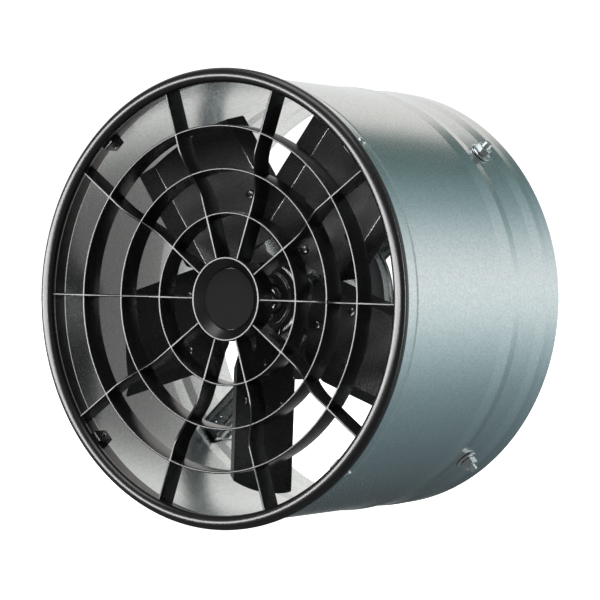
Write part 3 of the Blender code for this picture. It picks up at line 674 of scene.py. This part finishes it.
def blade_line():
    """Middle line across a blade in local XY: rounded folds, and points for its tip corners."""
    front_fold = BLADE_MIDDLE - direction(BLADE_PITCH) * BLADE_FACET / 2
    rear_fold = BLADE_MIDDLE + direction(BLADE_PITCH) * BLADE_FACET / 2
    (front_width, front_pitch), (rear_width, rear_pitch) = FLANGES
    front_edge = front_fold - direction(front_pitch) * front_width
    rear_edge = rear_fold + direction(rear_pitch) * rear_width
    folds = [(*fold, BLADE_FOLD) for fold in (front_fold, rear_fold)]
    rough = rounded([(*front_edge, 0), *folds, (*rear_edge, 0)], closed=False, steps=5)
    ends = [BLADE_CORNER * part for part in (0, 0.08, 0.3, 0.62, 1)]
    fine = [rough[0].lerp(rough[1], end / (rough[1] - rough[0]).length) for end in ends]
    for a, b in zip(rough[1:-1], rough[2:-1]):
        parts = max(1, round((b - a).length / 4))
        fine += [a.lerp(b, i / parts) for i in range(parts)]
    fine.append(rough[-2])
    last = rough[-2] - rough[-1]
    fine += [rough[-1] + last * end / last.length for end in reversed(ends)]
    return fine


def blade_mesh():
    """One folded blade, standing along local Z."""
    line = blade_line()
    spans = [0.0]
    for a, b in zip(line, line[1:]):
        spans.append(spans[-1] + (b - a).length)
    normals = []
    for i in range(len(line)):
        run = line[min(i + 1, len(line) - 1)] - line[max(i - 1, 0)]
        normals.append(Vector((-run.y, run.x)).normalized())

    def corner(span, size):
        """How far a rounded corner draws the edge back at a place along the line."""
        inset = size - min(span, spans[-1] - span)
        return size - math.sqrt(size**2 - inset**2) if inset > 0 else 0

    def reach(i, rise):
        """Height of a station between the root at 0 and the tip at 1."""
        across = abs((line[i] - BLADE_MIDDLE).dot(direction(BLADE_PITCH)))
        slope = (BLADE_SHOULDER - BLADE_ROOT) / BLADE_SHOULDER_RUN
        cut = corner(spans[i], BLADE_CORNER)
        low = BLADE_ROOT + slope * max(0, across - BLADE_ROOT_HALF) + cut
        high = math.sqrt(TIP_RADIUS**2 - line[i].x ** 2) - cut
        return low + (high - low) * rise

    def row(rise, thick, push):
        """One closed row round the sheet's thickness."""
        front, rear = [], []
        for i, (p, n) in enumerate(zip(line, normals)):
            height = reach(i, rise) + push
            a = p - n * thick / 2
            b = p + n * thick / 2
            front.append((a.x, a.y, height))
            rear.append((b.x, b.y, height))
        return front + rear[::-1]

    edge = BLADE_SHEET * 0.6
    rows = [row(0, edge, 0), row(0, BLADE_SHEET, 0.3)]
    rows += [row(step / BLADE_STEPS, BLADE_SHEET, 0) for step in range(1, BLADE_STEPS)]
    rows += [row(1, BLADE_SHEET, -0.3), row(1, edge, 0)]
    mesh = skin(rows, capped=False)
    bmesh.ops.holes_fill(mesh, edges=[e for e in mesh.edges if e.is_boundary], sides=0)
    bmesh.ops.recalc_face_normals(mesh, faces=mesh.faces)
    return mesh


def facet(turn):
    """Local X across a blade's middle facet, local Y behind it, local Z out along the blade."""
    pitch = Matrix.Rotation(math.radians(BLADE_PITCH), 4, "Z")
    return radial(turn) @ along(*BLADE_MIDDLE) @ pitch


def make_blades():
    for number in range(BLADES):
        turn = BLADE_TURN + 360 * number / BLADES
        holes = []
        for radius, across in RIVETS:
            holes.append(moved(rod(2.7, -5, 5, 24), facet(turn) @ along(across, 0, radius)))
        blade = combine("DIFFERENCE", moved(blade_mesh(), radial(turn)), merged(*holes))
        show(f"blade_{number + 1}", blade, smooth=28)


def spider_arm(turn):
    """A pressed arm behind the blade, wider where the blade is riveted on."""
    neck = 15
    flare = 35
    half = (
        (neck + 6, HUB_RADIUS - 8, 0),
        (neck, HUB_RADIUS + 6, 9),
        (neck + 2, BLADE_ROOT, 6),
        (flare, 93, 8),
        (flare, 107, 7),
    )
    corners = list(half) + [(-x, z, fillet) for x, z, fillet in reversed(half)]
    front = BLADE_SHEET / 2 + GAP
    plate = slab(rounded(corners, steps=5), front, front + SPIDER_SHEET, 0.8, 3)
    return moved(plate, facet(turn))


def rivet(turn, radius, across):
    """A domed head in front of the blade, its stem, and a formed tail behind the arm."""
    head = BLADE_SHEET / 2 + GAP
    tail = head + SPIDER_SHEET
    stem = 2.4
    line = [(0, tail + 1.2), (2.2, tail + 1.1), (3.6, tail + 0.5), (3.6, tail)]
    line += [(stem, tail), (stem, -head)]
    dome = arc((0, -head), 4.4, 0, 90, 8)
    line += [(p.x, -head - (p.y + head) * 0.42) for p in dome]
    line[-1] = (0, line[-1][1])
    return moved(lathe(line, 32, closed=False), facet(turn) @ along(across, 0, radius))


def hub_line():
    bore = SHAFT_RADIUS + GAP
    return rounded(
        (
            (bore, HUB_REAR, 0.3),
            (13, HUB_REAR, 0.6),
            (13, 91, 1.5),
            (HUB_RADIUS - 3, 89, 1.5),
            (HUB_RADIUS, 86, 1),
            (HUB_RADIUS, 80, 1.6),
            (HUB_RADIUS - 3, 78.7, 1),
            (26.5, 78.3, 0.5),
            (25, 76.6, 0.8),
            (20, 76, 1.6),
            (17, 79, 1),
            (11.5, HUB_SEAT, 1),
            (bore, HUB_SEAT, 0.2),
        ),
        steps=3,
    )


def make_propeller_hub():
    arms = []
    for number in range(BLADES):
        turn = BLADE_TURN + 360 * number / BLADES
        arms.append(spider_arm(turn))
        arms += [rivet(turn, radius, across) for radius, across in RIVETS]
    show("propeller_hub", combine("UNION", lathe(hub_line(), 128), merged(*arms)), smooth=35)


def make_shaft():
    bore = SHAFT_RADIUS + GAP
    rear = HUB_SEAT - GAP
    front = rear - 1.2
    show("propeller_washer", ring(bore, 10.5, front, rear, 0.3, 64))
    seat = front - GAP
    show("propeller_nut", nut_mesh(17, seat - 5, seat, bore), smooth=25)
    show("motor_shaft", rod(SHAFT_RADIUS, *SHAFT_ENDS, 64, 0.8))


# Motor


def bell_line(end, housing_end):
    """One end bell from its open side: wall, rolled lip, plate and bearing housing."""
    seat = BEARING_RADIUS + GAP
    stop = housing_end - 1.8
    bore = SHAFT_RADIUS + 2
    sheet = 2.2
    wall = MOTOR_RADIUS - sheet
    lip = MOTOR_RADIUS + 2
    return (
        (wall, 0, 0.2),
        (MOTOR_RADIUS, 0, 0.4),
        (MOTOR_RADIUS, end - 5.2, 0.8),
        (lip, end - 4.4, 1),
        (lip, end, 2),
        (22, end, 1.5),
        (19.5, housing_end, 1.2),
        (bore, housing_end, 0.4),
        (bore, stop, 0.2),
        (seat, stop, 0.2),
        (seat, end - 3.4, 0.2),
        (18.5, end - sheet, 0.2),
        (wall, end - sheet, 2),
    )


def tie_place(turn):
    """The axis of a tie bolt along local Y."""
    angle = math.radians(turn)
    return along(TIE_RADIUS * math.cos(angle), 0, TIE_RADIUS * math.sin(angle))


def tie_holes():
    return merged(*(moved(rod(TIE_HOLE, 90, 200, 24), tie_place(turn)) for turn in QUARTERS))


def make_motor():
    """The two end bells and the stator core between them, with the tie bolts' holes."""
    back = CORE[1] + GAP
    line = rounded(bell_line(BELL_REAR - back, REAR_HOUSING - back), steps=3)
    rear = lathe([(r, back + h) for r, h in line], 144)
    show("motor_rear_bell", combine("DIFFERENCE", rear, tie_holes()), smooth=35)
    front = CORE[0] - GAP
    line = rounded(bell_line(front - BELL_FRONT, front - FRONT_HOUSING), steps=3)
    bell = lathe([(r, front - h) for r, h in line], 144)
    show("motor_front_bell", combine("DIFFERENCE", bell, tie_holes()), smooth=35)
    core = ring(STATOR_BORE, MOTOR_RADIUS, *CORE, 0.2, 144)
    slots = []
    for index in range(STATOR_SLOTS):
        slot = box_mesh((-5, CORE[0] - 5, 39), (5, CORE[1] + 5, 55))
        slots.append(moved(slot, radial(360 / STATOR_SLOTS * index)))
    show("stator_core", combine("DIFFERENCE", core, *slots, tie_holes()))


def make_tie_bolts():
    head = ARM_DEPTH + ARM_SHEET + GAP
    for number, turn in enumerate(QUARTERS, 1):
        bolt = pan_screw(4.2, 3, head, 2, BELL_FRONT - 2)
        show(f"motor_bolt_{number}", bolt, tie_place(turn))


# Arms and brackets


def arm_section():
    """A folded channel with two shallow beads pressed along its web, as (x, depth)."""
    half = 13
    inner = half - ARM_SHEET
    front = ARM_DEPTH
    floor = front + ARM_SHEET
    rear = front + 9
    web = ((-8, 0), (-6.5, 0.8), (-4.5, 0.8), (-3, 0), (3, 0), (4.5, 0.8), (6.5, 0.8), (8, 0))
    corners = [(-half, rear, 0.3), (-half, front, 2.4)]
    corners += [(x, front + rise, 0.6) for x, rise in web]
    corners += [(half, front, 2.4), (half, rear, 0.3), (inner, rear, 0.3), (inner, floor, 0.9)]
    corners += [(x, floor + rise, 0.6) for x, rise in reversed(web)]
    corners += [(-inner, floor, 0.9), (-inner, rear, 0.3)]
    return rounded(corners, steps=3)


def make_arms():
    for number, turn in enumerate(QUARTERS, 1):
        arm = bar(arm_section(), 36, 191)
        holes = [moved(rod(TIE_HOLE, 160, 190, 24), along(z=TIE_RADIUS))]
        holes += [moved(rod(1.9, 160, 190, 24), along(z=radius)) for radius in ARM_RIVETS]
        arm = combine("DIFFERENCE", arm, merged(*holes))
        show(f"motor_arm_{number}", arm, radial(turn))
        show(f"wall_bracket_{number}", bracket_mesh(), radial(turn))


def bracket_mesh():
    """An angle strip, riveted behind the arm and bent along the casing wall."""
    front = ARM_DEPTH + ARM_SHEET + GAP + 0.9
    rear = front + ARM_SHEET
    inner = BRACKET_WALL - ARM_SHEET
    start_radius = 160
    end_depth = 226
    profile = (
        (start_radius, front, 0.2),
        (BRACKET_WALL, front, 2.6),
        (BRACKET_WALL, end_depth, 0.3),
        (inner, end_depth, 0.3),
        (inner, rear, 1.1),
        (start_radius, rear, 0.2),
    )
    line = rounded(profile, steps=4)
    strip = skin([[(x, depth, radius) for radius, depth in line] for x in (-10.5, 10.5)])
    rivets = []
    face = ARM_DEPTH - GAP
    for radius in ARM_RIVETS:
        dome = [(0, front + 1), (1.6, front + 1), (1.6, face), (3, face)]
        dome += [(3 * math.cos(t), face - 1.5 * math.sin(t)) for t in (0.3, 0.6, 0.9, 1.2)]
        dome.append((0, face - 1.5))
        rivets.append(moved(lathe(dome, 32, closed=False), along(z=radius)))
    strip = combine("UNION", strip, merged(*rivets))
    hole = moved(rod(BOLT_HOLE, 190, 204, 24), along(y=FRAME_BOLT_DEPTH) @ UPRIGHT)
    return combine("DIFFERENCE", strip, hole)


# Terminal box


def make_terminal_box():
    """An open box with two screw posts and a round foot that stands on the rear bell."""
    x, z = BOX_HALF
    shell = box_mesh((-x, BOX_FRONT, -z), (x, BOX_REAR, z), 1.2)
    low = (BOX_WALL - x, BOX_FRONT + BOX_WALL, BOX_WALL - z)
    room = box_mesh(low, (x - BOX_WALL, BOX_REAR + 5, z - BOX_WALL))
    shell = combine("DIFFERENCE", shell, room)
    joined = BOX_FRONT + 1
    posts = [moved(rod(3.4, joined, BOX_REAR - 0.2, 32), along(x=post)) for post in BOX_POSTS]
    posts.append(rod(19, BOX_FRONT - 4.1, joined, 96, 0.4))
    shell = combine("UNION", shell, merged(*posts))
    bores = []
    for post in BOX_POSTS:
        bores.append(moved(rod(1.6, BOX_REAR - 12, BOX_REAR + 5, 24), along(x=post)))
    bores.append(moved(rod(5.4, -25, -15), along(y=BOX_MIDDLE) @ UPRIGHT))
    show("terminal_box", combine("DIFFERENCE", shell, merged(*bores)))


def make_terminal_lid():
    x, z = BOX_HALF
    front = BOX_REAR + GAP
    lid = box_mesh((-x, front, -z), (x, front + LID_SHEET, z), 0.9)
    holes = []
    for post in BOX_POSTS:
        holes.append(moved(rod(1.7, BOX_REAR - 1, BOX_REAR + 8, 24), along(x=post)))
    show("terminal_lid", combine("DIFFERENCE", lid, merged(*holes)))
    head = front + LID_SHEET + GAP
    for number, post in enumerate(BOX_POSTS, 1):
        screw = pan_screw(2.9, 1.8, head, 1.3, BOX_REAR - 7)
        show(f"lid_screw_{number}", screw, along(x=post))


def make_gland():
    """A cable gland under the box; its line starts inside and ends at the cable's mouth."""
    gland = rounded(
        (
            (2.8, 6, 0.3),
            (5, 6, 0.4),
            (5, -GAP, 0),
            (8.5, -GAP, 0.3),
            (8.5, -4, 0.4),
            (7.4, -4.6, 0.3),
            (7.4, -11, 1),
            (5.2, -14, 1),
            (2.8, -14, 0.4),
        ),
        steps=3,
    )
    under = along(y=BOX_MIDDLE, z=-BOX_HALF[1]) @ UPRIGHT
    show("cable_gland", lathe(gland, 48), under)


def finish_inside():
    """Pieces inside the motor and the box keep their CAD shape."""
    for name, obj in frame["nodes"].items():
        if not obj.hide_render:
            obj.data.materials.clear()
            obj.data.materials.append(FINISH[SLOT_OF[name]])
            obj.data.shade_smooth()
            obj.data.set_sharp_from_angle(angle=math.radians(32))


# Studio

AZIMUTH = 36.15
ELEVATION = 0.22
DISTANCE = 2.154
LOOK_AT = Vector((0, -0.0037, 0))
AIM_RIGHT = 0.00316354
AIM_DOWN = 0.00130263
LENS = 138.9
SENSOR = 36
REAR_Y = (FACE + REAR) * MM
CENTRE = (0, 0, 0)

# Brightness of the lights, the floor and the backdrop
STRIP = 18.0
FOLD_STRIP = 50.0
FRONT = 3.5
TOP = 3.0
FLOOR = 1.2
BACKDROP = 1.2

# The card's brightness from its middle to its rim, and from its left to its right
CARD_RADIUS = 0.196
CARD_RIM = (0.2, 1.15)
CARD_SIDE = (1.0, 0.13)

# The studio's even tone in front of the fan, and where it gives way to the ramp behind
FRONT_TONE = (0.2, 0.2, 0.2)
FRONT_FADE = (0.05, 0.45)

# Angle round the fan axis from +X towards +Z, and the studio's colour there
WORLD_TONES = (
    (-180, (1.0, 1.0, 1.0)),
    (-165, (0.5, 0.52, 0.52)),
    (-150, (0.07, 0.08, 0.08)),
    (-130, (0.07, 0.085, 0.09)),
    (-110, (0.11, 0.14, 0.145)),
    (-90, (0.14, 0.18, 0.2)),
    (-70, (0.19, 0.26, 0.28)),
    (-50, (0.27, 0.36, 0.37)),
    (-28, (0.55, 0.68, 0.71)),
    (-8, (1.0, 1.08, 1.09)),
    (10, (1.15, 1.18, 1.19)),
    (30, (0.84, 0.92, 0.94)),
    (50, (0.36, 0.49, 0.51)),
    (70, (0.16, 0.25, 0.25)),
    (80, (0.11, 0.18, 0.18)),
    (95, (0.06, 0.12, 0.1)),
    (101, (0.95, 0.93, 0.9)),
    (110, (1.06, 0.99, 0.94)),
    (130, (1.0, 0.97, 0.95)),
    (150, (1.02, 1.02, 1.02)),
    (170, (1.2, 1.2, 1.2)),
)


def make_camera():
    """The camera, set by its azimuth and elevation, aims a little right of and below LOOK_AT."""
    a, e = math.radians(AZIMUTH), math.radians(ELEVATION)
    back = Vector((math.sin(a) * math.cos(e), -math.cos(a) * math.cos(e), math.sin(e)))
    right = Vector((math.cos(a), math.sin(a), 0))
    up = back.cross(right)
    aim = LOOK_AT + right * AIM_RIGHT - up * AIM_DOWN
    camera = bpy.data.objects.new("camera", bpy.data.cameras.new("camera"))
    bpy.context.scene.collection.objects.link(camera)
    camera.location = LOOK_AT + back * DISTANCE
    camera.rotation_euler = (aim - camera.location).to_track_quat("-Z", "Y").to_euler()
    camera.data.lens = LENS
    camera.data.sensor_width = SENSOR
    camera.data.clip_end = 50
    camera.data.dof.use_dof = False
    bpy.context.scene.camera = camera


def softbox(name, location, width, height, radiance):
    """A rectangular area light that faces the fan and has a set surface brightness."""
    data = bpy.data.lights.new(name, "AREA")
    data.shape = "RECTANGLE"
    data.size = width
    data.size_y = height
    data.energy = radiance * math.pi * width * height
    light = bpy.data.objects.new(name, data)
    bpy.context.scene.collection.objects.link(light)
    light.location = location
    facing = Vector(CENTRE) - Vector(location)
    light.rotation_euler = facing.to_track_quat("-Z", "Y").to_euler()
    light.visible_camera = False
    return light


def reach_only(light, *slots):
    """Keep a light off every piece but those in the named finishes."""
    group = bpy.data.collections.new(light.name)
    finishes = [FINISH[slot] for slot in slots]
    for obj in bpy.data.objects:
        if obj.type == "MESH" and obj.active_material in finishes:
            group.objects.link(obj)
    light.light_linking.receiver_collection = group
    light.visible_diffuse = False


def make_lights():
    """Strips in front for the black edges and folds, a wide one for the zinc, and a top light."""
    strip = softbox("strip", (-1.1, -2.6, 0.05), 5.6, 0.8, STRIP)
    reach_only(strip, "guard_plastic")
    for side, name in ((1, "upper_strip"), (-1, "lower_strip")):
        fold = softbox(name, (-1.5, -2.3, 2.4 * side), 9.0, 0.6, FOLD_STRIP)
        reach_only(fold, "propeller_paint")
    front = softbox("front", (-1.4, -2.3, 0), 3.4, 2.8, FRONT)
    reach_only(front, "galvanised_sheet")
    softbox("top", (0.1, -0.6, 2.4), 2.0, 1.6, TOP)


def eased(tree, value, inside, outside=(0, 1)):
    """Ease a value from one range into another."""
    return spread(tree, value, inside, outside, interpolation_type="SMOOTHSTEP")


def card_glow():
    """An emission that brightens towards a rim and darkens towards +X."""
    made = bpy.data.materials.new("card")
    made.use_nodes = True
    tree = made.node_tree
    tree.nodes.clear()
    place = add_node(tree, "ShaderNodeTexCoord").outputs["Object"]
    distance = add_node(tree, "ShaderNodeVectorMath", operation="LENGTH")
    tree.links.new(place, distance.inputs[0])
    split = add_node(tree, "ShaderNodeSeparateXYZ")
    tree.links.new(place, split.inputs[0])
    level = add_node(tree, "ShaderNodeMath", operation="MULTIPLY")
    rim = eased(tree, distance.outputs["Value"], (0.11, 0.18), CARD_RIM)
    tree.links.new(rim, level.inputs[0])
    side = eased(tree, split.outputs["X"], (-0.03, 0.07), CARD_SIDE)
    tree.links.new(side, level.inputs[1])
    glow = add_node(tree, "ShaderNodeEmission")
    glow.inputs["Color"].default_value = (1, 0.965, 0.93, 1)
    tree.links.new(level.outputs[0], glow.inputs["Strength"])
    out = add_node(tree, "ShaderNodeOutputMaterial")
    tree.links.new(glow.outputs[0], out.inputs["Surface"])
    return made


def make_card():
    """A glowing card behind the casing, for the reflections in its inner wall."""
    mesh = bpy.data.meshes.new("card")
    disc = bmesh.new()
    bmesh.ops.create_circle(disc, cap_ends=True, segments=64, radius=CARD_RADIUS)
    bmesh.ops.rotate(disc, verts=disc.verts, matrix=UPRIGHT.to_3x3())
    disc.to_mesh(mesh)
    disc.free()
    card = bpy.data.objects.new("card", mesh)
    bpy.context.scene.collection.objects.link(card)
    card.location = (0, REAR_Y + 0.012, 0)
    card.data.materials.append(card_glow())
    card.visible_camera = False


def plain(name, colour, strength):
    """A matt colour with a white glow of its own."""
    made = bpy.data.materials.new(name)
    made.use_nodes = True
    shader = made.node_tree.nodes["Principled BSDF"]
    shader.inputs["Base Color"].default_value = (*colour, 1)
    shader.inputs["Roughness"].default_value = 1
    shader.inputs["Emission Color"].default_value = (1, 1, 1, 1)
    shader.inputs["Emission Strength"].default_value = strength
    return made


def make_floor():
    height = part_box("front_guard")[0].z - 0.0005
    bpy.ops.mesh.primitive_plane_add(size=60, location=(0, 0, height))
    floor = bpy.context.object
    floor.name = "floor"
    floor.data.materials.append(plain("floor", (0.9, 0.9, 0.9), FLOOR))
    floor.visible_glossy = False
    floor.visible_diffuse = False
    floor.visible_shadow = False


def tone_ramp(tree, value):
    """The studio's colours by turn, for a value from 0 to 1 over one turn."""
    ramp = add_node(tree, "ShaderNodeValToRGB")
    tones = ramp.color_ramp.elements
    for element in list(tones)[1:]:
        tones.remove(element)
    (angle, colour), *others = WORLD_TONES
    tones[0].position = (angle + 180) / 360
    tones[0].color = (*colour, 1)
    for angle, colour in others:
        tones.new((angle + 180) / 360).color = (*colour, 1)
    tree.links.new(value, ramp.inputs["Fac"])
    return ramp.outputs["Color"]


def make_world():
    """A studio as a ramp of tones round the fan axis, white where the camera sees it."""
    world = bpy.data.worlds.new("studio")
    bpy.context.scene.world = world
    world.use_nodes = True
    tree = world.node_tree
    tree.nodes.clear()
    place = add_node(tree, "ShaderNodeTexCoord").outputs["Generated"]
    split = add_node(tree, "ShaderNodeSeparateXYZ")
    tree.links.new(place, split.inputs[0])
    turn = add_node(tree, "ShaderNodeMath", operation="ARCTAN2")
    tree.links.new(split.outputs["Z"], turn.inputs[0])
    tree.links.new(split.outputs["X"], turn.inputs[1])
    tones = tone_ramp(tree, spread(tree, turn.outputs[0], (-math.pi, math.pi)))
    behind = eased(tree, split.outputs["Y"], FRONT_FADE)
    studio = add_node(tree, "ShaderNodeBackground", Strength=1.0)
    tree.links.new(blended(tree, behind, FRONT_TONE, tones), studio.inputs["Color"])
    white = add_node(tree, "ShaderNodeBackground", Strength=BACKDROP)
    white.inputs["Color"].default_value = (1, 1, 1, 1)
    rays = add_node(tree, "ShaderNodeLightPath")
    mix = add_node(tree, "ShaderNodeMixShader")
    tree.links.new(rays.outputs["Is Camera Ray"], mix.inputs["Fac"])
    tree.links.new(studio.outputs[0], mix.inputs[1])
    tree.links.new(white.outputs[0], mix.inputs[2])
    out = add_node(tree, "ShaderNodeOutputWorld")
    tree.links.new(mix.outputs[0], out.inputs["Surface"])


make_casing()
make_guard()
make_badge()
make_guard_screws()
make_blades()
make_propeller_hub()
make_shaft()
make_motor()
make_tie_bolts()
make_arms()
make_frame_bolts()
make_terminal_box()
make_terminal_lid()
make_gland()
finish_inside()
make_camera()
make_floor()
make_world()
make_lights()
make_card()
bpy.context.scene.view_settings.view_transform = "Standard"
